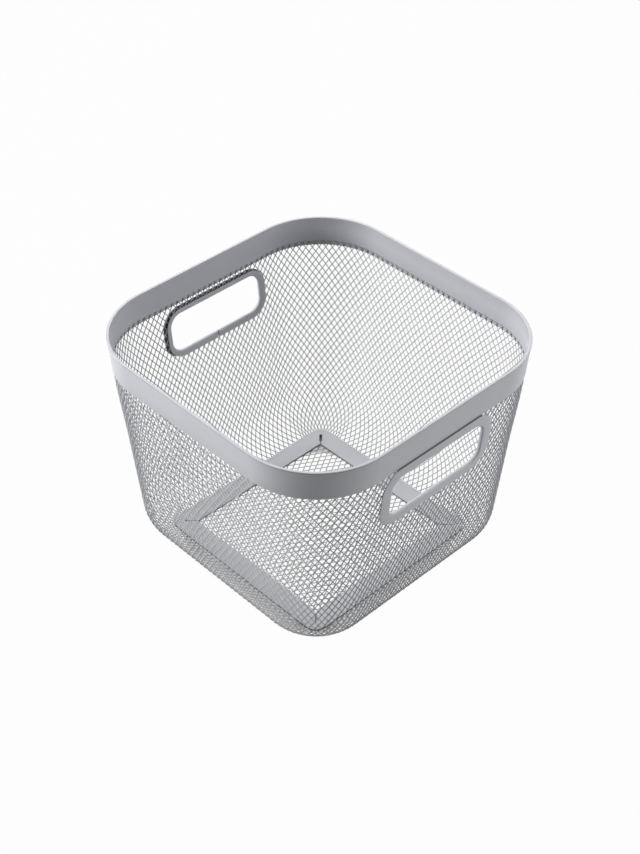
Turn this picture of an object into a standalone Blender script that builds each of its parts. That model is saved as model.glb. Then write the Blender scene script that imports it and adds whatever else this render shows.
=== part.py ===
"""A square storage basket of expanded-metal mesh, with a folded rim band and two hand holes.

The basket stands on its base with the origin under its middle, +Z up. The hand holes are in the two
walls that face +X and -X. Lengths are in metres.
"""

import math

import bmesh
import bpy
from mathutils import Matrix, Vector

# Overall form. Every level outline is a rounded square round the same four corner centres
TOP_SIDE = 0.250
TOP_CORNER_RADIUS = 0.062
HEIGHT = 0.190
WALL_DRAFT_DEGREES = 5.15
BEND_RADIUS = 0.0334  # from the walls into the base, on the outside of the mesh
BASE_JOINT_INSET = 0.0055  # from the end of that bend to the edge of the wall mesh, under the frame

# Sheet and mesh
MESH_THICKNESS = 0.0009
SHEET_THICKNESS = 0.0007
SEAT_GAP = 0.0003  # between pieces that touch
FOLD_CLEARANCE = 0.0005  # between the mesh and each leg of a fold that clamps it
DIAMOND_WIDTH = 0.0265
DIAMOND_HEIGHT = 0.0400
STRAND_WIDTH = 0.0030
BASE_DIAMOND_WIDTH = 0.0270
BASE_DIAMOND_LENGTH = 0.0460
BORDER_WIDTH = 0.0020  # plain strip along the edges of the mesh, out of sight

# Rim band
RIM_OUTER_DROP = 0.0250
RIM_INNER_DROP = 0.0200
RIM_LIP_HEIGHT = 0.0016
RIM_LIP_PROUD = 0.0002
MESH_TO_RIM_TOP = 0.0040

# Hand holes, measured up and along the wall
HOLE_WIDTH = 0.0912
HOLE_HEIGHT = 0.0346
HOLE_CORNER_RADIUS = 0.0100
HOLE_TOP_BELOW_RIM = 0.0078  # from the rim band's lower edge to the hole
HOLE_OFFSET = 0.0053  # each hole sits this far round from the middle of its wall
GRIP_OUTER_FLANGE = 0.0075
GRIP_INNER_FLANGE = 0.0040
GRIP_OUTER_PROUD = 0.0021
GRIP_INNER_PROUD = 0.0015
GRIP_EDGE_THICKNESS = 0.0008
GRIP_LIP_RADIUS = 0.0008

# Frame that lies on the base
FRAME_COVER = 0.00885  # from the inner end of the bottom bend in to the frame's inner edge
FRAME_WIDTH = 0.0158
FRAME_OUTER_RADIUS = 0.0166
FRAME_INNER_RADIUS = 0.0010
FRAME_LIFT = 0.0019  # underside of its plate above the mesh
FRAME_EDGE_BEVEL = 0.0004
SLIT_LENGTH = 0.0105
SLIT_WIDTH = 0.0014

CORNER_SEGMENTS = 9
GRIP_CORNER_SEGMENTS = 5
FRAME_CORNER_SEGMENTS = 6
BEND_CUT_SHARES = (0.0, 0.25, 0.55, 0.9)  # where the mesh is creased round the bottom bend
CUT_OVERRUN = 0.0100
MERGE_DISTANCE = 0.000001
BORDER_MARK = 1

# Sizes that follow from these
DRAFT = math.radians(WALL_DRAFT_DEGREES)
CORE = TOP_SIDE / 2 - TOP_CORNER_RADIUS
RIM_PROUD = SHEET_THICKNESS + FOLD_CLEARANCE
MESH_TOP_RADIUS = TOP_CORNER_RADIUS - RIM_PROUD
BEND_START_HEIGHT = BEND_RADIUS * (1 - math.sin(DRAFT))
BEND_START_RADIUS = MESH_TOP_RADIUS - (HEIGHT - BEND_START_HEIGHT) * math.tan(DRAFT)
BEND_CENTRE_RADIUS = BEND_START_RADIUS - BEND_RADIUS * math.cos(DRAFT)
MESH_EDGE_HEIGHT = HEIGHT - MESH_TO_RIM_TOP
WALL_LENGTH = (MESH_EDGE_HEIGHT - BEND_START_HEIGHT) / math.cos(DRAFT)
BEND_LENGTH = BEND_RADIUS * (math.pi / 2 - DRAFT)
MESH_LENGTH = WALL_LENGTH + BEND_LENGTH + BASE_JOINT_INSET
FRAME_INNER_HALF = CORE + BEND_CENTRE_RADIUS - FRAME_COVER
WALL_NORMAL = Vector((math.cos(DRAFT), 0.0, -math.sin(DRAFT)))
WALL_UP = Vector((math.sin(DRAFT), 0.0, math.cos(DRAFT)))

LIGHT_GREY = (0.47, 0.48, 0.51, 1.0)


def new_material(name, colour):
    """Powder-coated steel in one colour."""
    material = bpy.data.materials.new(name)
    material.use_nodes = True
    shader = material.node_tree.nodes["Principled BSDF"]
    shader.inputs["Base Color"].default_value = colour
    shader.inputs["Roughness"].default_value = 0.45
    shader.inputs["Metallic"].default_value = 0.1
    return material


def new_object(name, shape, material=None, helper=False):
    """Turns a bmesh into an object in the scene. A helper is a cutter, and isn't rendered."""
    mesh = bpy.data.meshes.new(name)
    shape.to_mesh(mesh)
    shape.free()
    obj = bpy.data.objects.new(name, mesh)
    bpy.context.scene.collection.objects.link(obj)
    if material:
        mesh.materials.append(material)
    if helper:
        obj.hide_render = True
        obj.display_type = "WIRE"
    return obj


def smooth(obj, sharp_degrees=32.0):
    """Shades the curved stretches smooth and leaves the real edges sharp."""
    obj.data.shade_smooth()
    obj.data.set_sharp_from_angle(angle=math.radians(sharp_degrees))


def rounded_square(half, radius, height, segments):
    """Points of a level rounded square, counter-clockwise from the +X side."""
    centre = half - radius
    points = []
    for quarter in range(4):
        turn = Matrix.Rotation(quarter * math.pi / 2, 3, "Z")
        for step in range(segments + 1):
            angle = math.pi / 2 * step / segments
            corner = Vector((centre + radius * math.cos(angle), centre + radius * math.sin(angle), height))
            points.append(turn @ corner)
    return points


def loft_ring(loops):
    """A closed ring-shaped solid through loops of points, the last joined to the first."""
    shape = bmesh.new()
    rings = [[shape.verts.new(point) for point in loop] for loop in loops]
    for ring, following in zip(rings, rings[1:] + rings[:1]):
        for k, vert in enumerate(ring):
            after = (k + 1) % len(ring)
            shape.faces.new((vert, ring[after], following[after], following[k]))
    bmesh.ops.recalc_face_normals(shape, faces=shape.faces)
    return shape


def mesh_profile(path):
    """Corner radius and height of the wall mesh's outer surface, at a length down from its top edge."""
    if path < WALL_LENGTH:
        height = MESH_EDGE_HEIGHT - path * math.cos(DRAFT)
        return BEND_START_RADIUS + (height - BEND_START_HEIGHT) * math.tan(DRAFT), height
    turned = (path - WALL_LENGTH) / BEND_RADIUS + DRAFT
    if turned < math.pi / 2:
        return (
            BEND_CENTRE_RADIUS + BEND_RADIUS * math.cos(turned),
            BEND_RADIUS * (1 - math.sin(turned)),
        )
    return BEND_CENTRE_RADIUS - (path - WALL_LENGTH - BEND_LENGTH), 0.0


def drape(around, path):
    """The point of the wall mesh at a share of the way round and a length down from its top edge.

    On the walls the columns of diamonds spread evenly. Round the bottom bend they keep their place on
    the flats and crowd together at the corners, as drawn-in mesh does.
    """
    radius, height = mesh_profile(path)
    spread = max(radius, BEND_START_RADIUS)
    quarter_length = 2 * CORE + spread * math.pi / 2
    along = around * 4 * quarter_length + CORE
    quarter = math.floor(along / quarter_length)
    along -= quarter * quarter_length + CORE
    angle = max(along - CORE, 0.0) / spread
    point = Vector((CORE + radius * math.cos(angle), min(along, CORE) + radius * math.sin(angle), height))
    return Matrix.Rotation(quarter * math.pi / 2, 3, "Z") @ point


def add_diamonds(shape, crossings, columns, rows, closed):
    """One face for each gap of the net: a diamond, or half of one along an edge of the sheet."""
    width = columns if closed else columns + 1
    for column in range(width):
        for row in range((column + 1) % 2, rows + 1, 2):
            above, below = (column, max(row - 1, 0)), (column, min(row + 1, rows))
            places = (above, (column - 1, row), below, (column + 1, row))
            if closed:
                places = [(place[0] % columns, place[1]) for place in places]
            shape.faces.new([crossings[place] for place in places if place in crossings])


def add_border(shape, shifted):
    """A plain strip along the edges of the net. It is marked, so that it stays when the gaps open."""
    edges = [edge for edge in shape.edges if edge.is_boundary]
    made = bmesh.ops.extrude_edge_only(shape, edges=edges)
    for element in made["geom"]:
        if isinstance(element, bmesh.types.BMFace):
            element.material_index = BORDER_MARK
        elif isinstance(element, bmesh.types.BMVert):
            element.co = shifted(element.co)


def open_gaps(shape):
    """Widens the edges between the diamonds into strands, and opens what is left of each face."""
    strands = [
        edge
        for edge in shape.edges
        if len(edge.link_faces) == 2 and not all(face.material_index for face in edge.link_faces)
    ]
    made = bmesh.ops.bevel(
        shape,
        geom=strands,
        offset=STRAND_WIDTH / 2,
        offset_type="OFFSET",
        segments=1,
        profile=0.5,
        affect="EDGES",
        clamp_overlap=False,
        material=-1,
    )
    kept = set(made["faces"])
    gaps = [face for face in shape.faces if face not in kept and not face.material_index]
    bmesh.ops.delete(shape, geom=gaps, context="FACES")
    for face in shape.faces:
        face.material_index = 0


def wall_net():
    """The strands of the wall mesh, cut on an upright drum and then draped over the basket's form."""
    girth = 4 * (2 * CORE + MESH_TOP_RADIUS * math.pi / 2)
    columns = 8 * round(girth / (4 * DIAMOND_WIDTH))
    rows = round(2 * MESH_LENGTH / DIAMOND_HEIGHT)
    drum_radius = girth / math.tau
    net_length = MESH_LENGTH - 2 * BORDER_WIDTH
    shape = bmesh.new()
    crossings = {}
    for column in range(columns):
        turn = Matrix.Rotation(math.tau * column / columns, 3, "Z")
        for row in sorted({0, *range(column % 2, rows + 1, 2), rows}):
            drop = BORDER_WIDTH + net_length * row / rows
            crossings[column, row] = shape.verts.new(turn @ Vector((drum_radius, 0.0, -drop)))
    add_diamonds(shape, crossings, columns, rows, closed=True)
    middle = -MESH_LENGTH / 2

    def to_edge(place):
        """The point of the sheet's edge beyond a point on the net's edge."""
        return place + Vector((0.0, 0.0, math.copysign(BORDER_WIDTH, place.z - middle)))

    add_border(shape, to_edge)
    open_gaps(shape)
    for share in BEND_CUT_SHARES:
        geom = list(shape.verts) + list(shape.edges) + list(shape.faces)
        level = Vector((0.0, 0.0, -WALL_LENGTH - BEND_LENGTH * share))
        bmesh.ops.bisect_plane(
            shape, geom=geom, dist=MERGE_DISTANCE, plane_co=level, plane_no=Vector((0.0, 0.0, 1.0))
        )
    for vert in shape.verts:
        around = math.atan2(vert.co.y, vert.co.x) / math.tau
        vert.co = drape(around, -vert.co.z)
    bmesh.ops.recalc_face_normals(shape, faces=shape.faces)
    return shape


def thicken(obj, thickness):
    """Gives a sheet its thickness, inwards from the surface it was drawn on."""
    solid = obj.modifiers.new("thickness", "SOLIDIFY")
    solid.thickness = thickness
    solid.offset = -1.0
    solid.use_even_offset = False


def subtract(obj, cutter):
    """Cuts one solid with another."""
    cut = obj.modifiers.new("cut", "BOOLEAN")
    cut.operation = "DIFFERENCE"
    cut.solver = "EXACT"
    cut.object = cutter


def hole_centre_height():
    """Height of the hand holes' middle on the mesh's outer surface."""
    top = HEIGHT - RIM_OUTER_DROP - HOLE_TOP_BELOW_RIM
    return top - HOLE_HEIGHT / 2 * math.cos(DRAFT)


def place_on_wall(side):
    """The place and turn of a hand hole: X out of the wall, Y along it, Z up it."""
    height = hole_centre_height()
    radius = BEND_START_RADIUS + (height - BEND_START_HEIGHT) * math.tan(DRAFT)
    place = Vector((CORE + radius, -HOLE_OFFSET, height))
    columns = Matrix((WALL_NORMAL, Vector((0.0, 1.0, 0.0)), WALL_UP)).transposed().to_4x4()
    half_turn = Matrix.Rotation(0.0 if side > 0 else math.pi, 4, "Z")
    return half_turn @ Matrix.Translation(place) @ columns


def rounded_slot(outward, depth):
    """Points round a hand hole, a distance outward from its edge and a depth out of the wall."""
    half_width = HOLE_WIDTH / 2 - HOLE_CORNER_RADIUS
    half_height = HOLE_HEIGHT / 2 - HOLE_CORNER_RADIUS
    radius = HOLE_CORNER_RADIUS + outward
    points = []
    for quarter, (across, up) in enumerate(((1, 1), (-1, 1), (-1, -1), (1, -1))):
        for step in range(GRIP_CORNER_SEGMENTS + 1):
            angle = math.pi / 2 * (quarter + step / GRIP_CORNER_SEGMENTS)
            points.append(
                Vector(
                    (
                        depth,
                        across * half_width + radius * math.cos(angle),
                        up * half_height + radius * math.sin(angle),
                    )
                )
            )
    return points


def hole_cutter(name, side):
    """A block through the wall where the mesh is cut away, inside the grip ring's groove."""
    edge = SHEET_THICKNESS + SEAT_GAP
    shape = bmesh.new()
    loops = [rounded_slot(edge, depth) for depth in (-CUT_OVERRUN, CUT_OVERRUN)]
    rings = [[shape.verts.new(point) for point in loop] for loop in loops]
    for k in range(len(rings[0])):
        after = (k + 1) % len(rings[0])
        shape.faces.new((rings[0][k], rings[0][after], rings[1][after], rings[1][k]))
    for ring in rings:
        shape.faces.new(ring)
    bmesh.ops.recalc_face_normals(shape, faces=shape.faces)
    cutter = new_object(name, shape, helper=True)
    cutter.matrix_world = place_on_wall(side)
    return cutter


def wall_mesh(material):
    """The four walls: one sheet of expanded metal, drawn in under the base frame at its foot."""
    obj = new_object("wall_mesh", wall_net(), material)
    thicken(obj, MESH_THICKNESS)
    for name, side in (("right_hole_cutter", 1), ("left_hole_cutter", -1)):
        subtract(obj, hole_cutter(name, side))
    return obj


def round_corner(place):
    """Draws a point near a corner of the base sheet in, to follow the wall mesh's rounded edge."""
    over_x, over_y = abs(place.x) - CORE, abs(place.y) - CORE
    if min(over_x, over_y) <= 0:
        return place
    share = max(over_x, over_y) / math.hypot(over_x, over_y)
    x, y = CORE + over_x * share, CORE + over_y * share
    return Vector((math.copysign(x, place.x), math.copysign(y, place.y), place.z))


def base_mesh(material):
    """The flat mesh of the base, which meets the wall mesh under the frame."""
    half = CORE + BEND_CENTRE_RADIUS - BASE_JOINT_INSET - SEAT_GAP
    net_half = half - BORDER_WIDTH
    columns = 2 * round(2 * net_half / BASE_DIAMOND_WIDTH)
    rows = 2 * round(2 * net_half / BASE_DIAMOND_LENGTH)
    shape = bmesh.new()
    crossings = {}
    for column in range(columns + 1):
        for row in range(column % 2, rows + 1, 2):
            x, y = net_half * (2 * column / columns - 1), net_half * (2 * row / rows - 1)
            crossings[column, row] = shape.verts.new(Vector((x, y, MESH_THICKNESS)))
    add_diamonds(shape, crossings, columns, rows, closed=False)
    spread = Matrix.Diagonal((half / net_half, half / net_half, 1.0))
    add_border(shape, lambda place: spread @ place)
    open_gaps(shape)
    for vert in shape.verts:
        vert.co = round_corner(vert.co)
    bmesh.ops.recalc_face_normals(shape, faces=shape.faces)
    if sum(face.normal.z for face in shape.faces) < 0:
        bmesh.ops.reverse_faces(shape, faces=shape.faces)
    obj = new_object("base_mesh", shape, material)
    thicken(obj, MESH_THICKNESS)
    return obj


def rim_loop(offset, height):
    """A level loop of the rim band, a distance out from the mesh's outer surface."""
    radius = MESH_TOP_RADIUS - (HEIGHT - height) * math.tan(DRAFT) + offset
    return rounded_square(CORE + radius, radius, height, CORNER_SEGMENTS)


def rim_band(material):
    """A strip of sheet folded over the mesh's top edge, with a rounded lip."""
    outer, inner = RIM_PROUD, -MESH_THICKNESS - RIM_PROUD
    groove_out, groove_in = FOLD_CLEARANCE, -MESH_THICKNESS - FOLD_CLEARANCE
    middle = (outer + inner) / 2
    lip = HEIGHT - RIM_LIP_HEIGHT
    groove_top = HEIGHT - MESH_TO_RIM_TOP + SEAT_GAP
    soft = SHEET_THICKNESS / 2
    loops = [
        rim_loop(outer, HEIGHT - RIM_OUTER_DROP),
        rim_loop(outer, lip - RIM_LIP_HEIGHT),
        rim_loop(outer + RIM_LIP_PROUD, lip),
        rim_loop(outer - soft, HEIGHT - soft),
        rim_loop(middle, HEIGHT),
        rim_loop(inner + soft, HEIGHT - soft),
        rim_loop(inner - RIM_LIP_PROUD, lip),
        rim_loop(inner, lip - RIM_LIP_HEIGHT),
        rim_loop(inner, HEIGHT - RIM_INNER_DROP),
        rim_loop(groove_in, HEIGHT - RIM_INNER_DROP),
        rim_loop(groove_in, groove_top),
        rim_loop(groove_out, groove_top),
        rim_loop(groove_out, HEIGHT - RIM_OUTER_DROP),
    ]
    obj = new_object("rim_band", loft_ring(loops), material)
    smooth(obj)
    return obj


def grip_ring(name, side, material):
    """The edging round a hand hole, folded over the cut edge of the mesh from both sides."""
    out, into = GRIP_OUTER_PROUD, -MESH_THICKNESS - GRIP_INNER_PROUD
    groove_out, groove_in = FOLD_CLEARANCE, -MESH_THICKNESS - FOLD_CLEARANCE
    loops = [
        rounded_slot(GRIP_OUTER_FLANGE, groove_out),
        rounded_slot(GRIP_OUTER_FLANGE, groove_out + GRIP_EDGE_THICKNESS),
        rounded_slot(GRIP_OUTER_FLANGE - GRIP_LIP_RADIUS, out - GRIP_LIP_RADIUS / 2),
        rounded_slot(GRIP_LIP_RADIUS, out),
        rounded_slot(GRIP_LIP_RADIUS / 4, out - GRIP_LIP_RADIUS / 4),
        rounded_slot(0.0, out - GRIP_LIP_RADIUS),
        rounded_slot(0.0, into + GRIP_LIP_RADIUS),
        rounded_slot(GRIP_LIP_RADIUS / 4, into + GRIP_LIP_RADIUS / 4),
        rounded_slot(GRIP_LIP_RADIUS, into),
        rounded_slot(GRIP_INNER_FLANGE, groove_in - GRIP_EDGE_THICKNESS),
        rounded_slot(GRIP_INNER_FLANGE, groove_in),
        rounded_slot(SHEET_THICKNESS, groove_in),
        rounded_slot(SHEET_THICKNESS, groove_out),
    ]
    obj = new_object(name, loft_ring(loops), material)
    obj.matrix_world = place_on_wall(side)
    smooth(obj)
    return obj


def slit_cutter():
    """Four narrow blocks, from the frame's inner corners outwards along the diagonals."""
    length = SLIT_LENGTH + CUT_OVERRUN
    shape = bmesh.new()
    for quarter in range(4):
        turn = Matrix.Rotation(math.pi / 4 + quarter * math.pi / 2, 4, "Z")
        middle = FRAME_INNER_HALF * math.sqrt(2) + SLIT_LENGTH - length / 2
        size = Matrix.Diagonal((length, SLIT_WIDTH, 2 * CUT_OVERRUN, 1.0))
        bmesh.ops.create_cube(shape, size=1.0, matrix=turn @ Matrix.Translation((middle, 0.0, 0.0)) @ size)
    return new_object("slit_cutter", shape, helper=True)


def frame_loop(half, height):
    """A level loop of the base frame: tight at its inner corners and rounded at its outer ones."""
    share = (half - FRAME_INNER_HALF) / FRAME_WIDTH
    radius = FRAME_INNER_RADIUS + (FRAME_OUTER_RADIUS - FRAME_INNER_RADIUS) * share
    return rounded_square(half, radius, height, FRAME_CORNER_SEGMENTS)


def base_frame(material):
    """The pressed frame that covers the joint of wall mesh and base mesh."""
    inner = FRAME_INNER_HALF
    outer = inner + FRAME_WIDTH
    foot = MESH_THICKNESS + SEAT_GAP
    under = MESH_THICKNESS + FRAME_LIFT
    top = under + SHEET_THICKNESS
    loops = [
        frame_loop(outer, under),
        frame_loop(outer, top - FRAME_EDGE_BEVEL),
        frame_loop(outer - FRAME_EDGE_BEVEL, top),
        frame_loop(inner + FRAME_EDGE_BEVEL, top),
        frame_loop(inner, top - FRAME_EDGE_BEVEL),
        frame_loop(inner, foot),
        frame_loop(inner + SHEET_THICKNESS, foot),
        frame_loop(inner + SHEET_THICKNESS, under),
    ]
    obj = new_object("base_frame", loft_ring(loops), material)
    subtract(obj, slit_cutter())
    smooth(obj)
    return obj


def build():
    """Clears the scene and makes each piece of the basket."""
    for obj in list(bpy.data.objects):
        bpy.data.objects.remove(obj, do_unlink=True)
    rim_band(new_material("rim_coating", LIGHT_GREY))
    wall_mesh(new_material("wall_mesh_coating", LIGHT_GREY))
    base_mesh(new_material("base_mesh_coating", LIGHT_GREY))
    base_frame(new_material("frame_coating", LIGHT_GREY))
    grip_ring("grip_ring_right", 1, new_material("right_grip_coating", LIGHT_GREY))
    grip_ring("grip_ring_left", -1, new_material("left_grip_coating", LIGHT_GREY))


build()
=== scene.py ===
"""Looks of a square storage basket of expanded-metal mesh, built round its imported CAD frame.

The frame has the origin under the middle of the base and +Z up. Lengths are in metres.
"""

import logging
import math
from collections.abc import Callable
from dataclasses import dataclass
from enum import Enum

import bmesh
import bpy
from mathutils import Matrix, Vector


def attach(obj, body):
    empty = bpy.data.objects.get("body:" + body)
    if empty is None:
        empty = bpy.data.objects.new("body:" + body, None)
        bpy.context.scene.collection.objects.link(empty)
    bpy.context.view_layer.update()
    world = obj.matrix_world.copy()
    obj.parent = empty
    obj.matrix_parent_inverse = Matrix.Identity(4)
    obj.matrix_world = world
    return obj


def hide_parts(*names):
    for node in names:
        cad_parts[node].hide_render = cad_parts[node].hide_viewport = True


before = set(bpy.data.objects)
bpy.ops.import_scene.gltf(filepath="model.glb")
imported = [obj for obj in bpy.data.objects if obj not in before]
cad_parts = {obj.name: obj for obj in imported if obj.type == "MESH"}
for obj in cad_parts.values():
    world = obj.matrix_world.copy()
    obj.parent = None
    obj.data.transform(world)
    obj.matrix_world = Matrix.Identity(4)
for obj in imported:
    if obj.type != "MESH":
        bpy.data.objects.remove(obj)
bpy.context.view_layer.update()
LOG = logging.getLogger("basket")
PAINTED_SHADE = "painted_shade"  # attribute of the faces whose coat is darkened as painted shade, in crevices, gaps and behind flanges
SAME_PLACE = 1e-6  # points closer than this are one
ASLANT = 0.5  # part of a normal along an axis, under which a face no longer faces along it

Point = tuple[float, float]
Span = tuple[float, float]
Corners = tuple[float, float, float, float]


class Side(Enum):
    """The wall that a hand hole is in, as the turn about Z that carries it there from +X."""

    RIGHT = 0.0
    LEFT = math.pi


class CoatSlot(Enum):
    """The record's material slots."""

    MESH = "mesh_coating"
    SHEET = "sheet_coating"


def as_share(value: float) -> float:
    """The value, kept between 0 and 1."""
    return min(max(value, 0.0), 1.0)


def heading(azimuth: float, elevation: float) -> Vector:
    """A direction of length 1.

    Args:
        azimuth: Its turn about Z from +X, in degrees.
        elevation: Its rise from level, in degrees.

    Returns:
        The direction.
    """
    turn, rise = math.radians(azimuth), math.radians(elevation)
    return Vector((math.cos(turn) * math.cos(rise), math.sin(turn) * math.cos(rise), math.sin(rise)))


def make_object(name: str, shape: bmesh.types.BMesh) -> bpy.types.Object:
    """Makes an object of a mesh and puts it in the scene.

    Args:
        name: The object's name.
        shape: Its mesh. It is freed.

    Returns:
        The object.
    """
    mesh = bpy.data.meshes.new(name)
    shape.to_mesh(mesh)
    shape.free()
    made = bpy.data.objects.new(name, mesh)
    bpy.context.scene.collection.objects.link(made)
    return made


def combine(
    tree: bpy.types.NodeTree,
    operation: str,
    first: bpy.types.NodeSocket,
    second: bpy.types.NodeSocket,
) -> bpy.types.NodeSocket:
    """Adds a Math node on two sockets.

    Args:
        tree: The tree that it is added to.
        operation: What it does.
        first: The first socket.
        second: The second socket.

    Returns:
        The socket with the outcome.
    """
    node = tree.nodes.new("ShaderNodeMath")
    node.operation = operation
    tree.links.new(first, node.inputs[0])
    tree.links.new(second, node.inputs[1])
    return node.outputs["Value"]


def ramp(
    tree: bpy.types.NodeTree,
    value: bpy.types.NodeSocket,
    span: Span = (0.0, 1.0),
    levels: Span = (0.0, 1.0),
) -> bpy.types.NodeSocket:
    """Adds a Map Range node, which carries a span of values evenly to a span of levels.

    Args:
        tree: The tree that it is added to.
        value: The socket with the value.
        span: The values at the two ends.
        levels: The levels there.

    Returns:
        The socket with the level.
    """
    node = tree.nodes.new("ShaderNodeMapRange")
    node.inputs["From Min"].default_value, node.inputs["From Max"].default_value = span
    node.inputs["To Min"].default_value, node.inputs["To Max"].default_value = levels
    tree.links.new(value, node.inputs["Value"])
    return node.outputs["Result"]


@dataclass(frozen=True)
class Form:
    """The basket's overall form: a rounded square at each level, round the same four corner centres."""

    top_side: float = 0.250
    top_corner_radius: float = 0.062
    height: float = 0.190
    draft: float = math.radians(5.26)
    bend_radius: float = 0.0334
    foot_inset: float = 0.0055
    mesh_below_rim: float = 0.0040
    sheet: float = 0.0006
    fold_clearance: float = 0.0001
    mesh_thickness: float = 0.0008
    bow: float = 0.0007
    bow_foot: float = 0.100

    @property
    def core(self) -> float:
        """Half the distance between two corner centres."""
        return self.top_side / 2 - self.top_corner_radius

    @property
    def mesh_top_radius(self) -> float:
        """Corner radius of the mesh's outer surface, carried up to the top of the rim."""
        return self.top_corner_radius - self.sheet - self.fold_clearance

    @property
    def bend_start_height(self) -> float:
        """Height at which the wall turns into the bottom bend."""
        return self.bend_radius * (1 - math.sin(self.draft))

    @property
    def bend_start_radius(self) -> float:
        """Corner radius of the mesh at that height."""
        return self.mesh_top_radius - (self.height - self.bend_start_height) * math.tan(self.draft)

    @property
    def bend_centre_radius(self) -> float:
        """Corner radius of the flat base, inside the bottom bend."""
        return self.bend_start_radius - self.bend_radius * math.cos(self.draft)

    @property
    def wall_length(self) -> float:
        """Length of the mesh from its top edge down to the bend."""
        return (self.height - self.mesh_below_rim - self.bend_start_height) / math.cos(self.draft)

    @property
    def bend_length(self) -> float:
        """Length of the mesh round the bottom bend."""
        return self.bend_radius * (math.pi / 2 - self.draft)

    @property
    def mesh_length(self) -> float:
        """Length of the wall mesh from its top edge to its foot under the base frame."""
        return self.wall_length + self.bend_length + self.foot_inset

    @property
    def girth(self) -> float:
        """Length once round the mesh near its top."""
        return 4 * (2 * self.core + self.mesh_top_radius * math.pi / 2)

    def wall_radius(self, height: float) -> float:
        """The corner radius of the mesh's outer surface on the wall, which bows out a little.

        Args:
            height: The height on the wall.

        Returns:
            The corner radius there.
        """
        share = as_share((self.height - height) / (self.height - self.bow_foot))
        bow = self.bow * math.sin(share * math.pi) ** 2
        return self.mesh_top_radius - (self.height - height) * math.tan(self.draft) + bow

    def profile(self, path: float) -> tuple[float, float, float]:
        """The mesh's outer surface at a length down from its top edge.

        Args:
            path: Length down from the top edge.

        Returns:
            The corner radius there, the height, and how far the surface leans from upright.
        """
        if path < self.wall_length:
            height = self.height - self.mesh_below_rim - path * math.cos(self.draft)
            return self.wall_radius(height), height, self.draft
        lean = self.draft + (path - self.wall_length) / self.bend_radius
        if lean < math.pi / 2:
            radius = self.bend_centre_radius + self.bend_radius * math.cos(lean)
            return radius, self.bend_radius * (1 - math.sin(lean)), lean
        flat = path - self.wall_length - self.bend_length
        return self.bend_centre_radius - flat, 0.0, math.pi / 2

    def drape(self, around: float, path: float, out: float) -> Vector:
        """Places a point of the wall mesh on the basket's form.

        On the walls the columns of the mesh spread evenly. Round the bottom bend they keep their place
        on the flats and crowd together at the corners, as drawn-in mesh does.

        Args:
            around: Share of the way round, from the middle of the wall that faces +X.
            path: Length down from the mesh's top edge.
            out: Distance out from the mesh's outer surface.

        Returns:
            The point.
        """
        radius, height, lean = self.profile(path)
        spread = max(radius, self.bend_start_radius)
        quarter_length = 2 * self.core + spread * math.pi / 2
        along = around * 4 * quarter_length + self.core
        quarter = math.floor(along / quarter_length)
        along -= quarter * quarter_length + self.core
        angle = max(along - self.core, 0.0) / spread
        reach = radius + out * math.cos(lean)
        point = Vector(
            (
                self.core + reach * math.cos(angle),
                min(along, self.core) + reach * math.sin(angle),
                height - out * math.sin(lean),
            )
        )
        return Matrix.Rotation(quarter * math.pi / 2, 3, "Z") @ point


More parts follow.
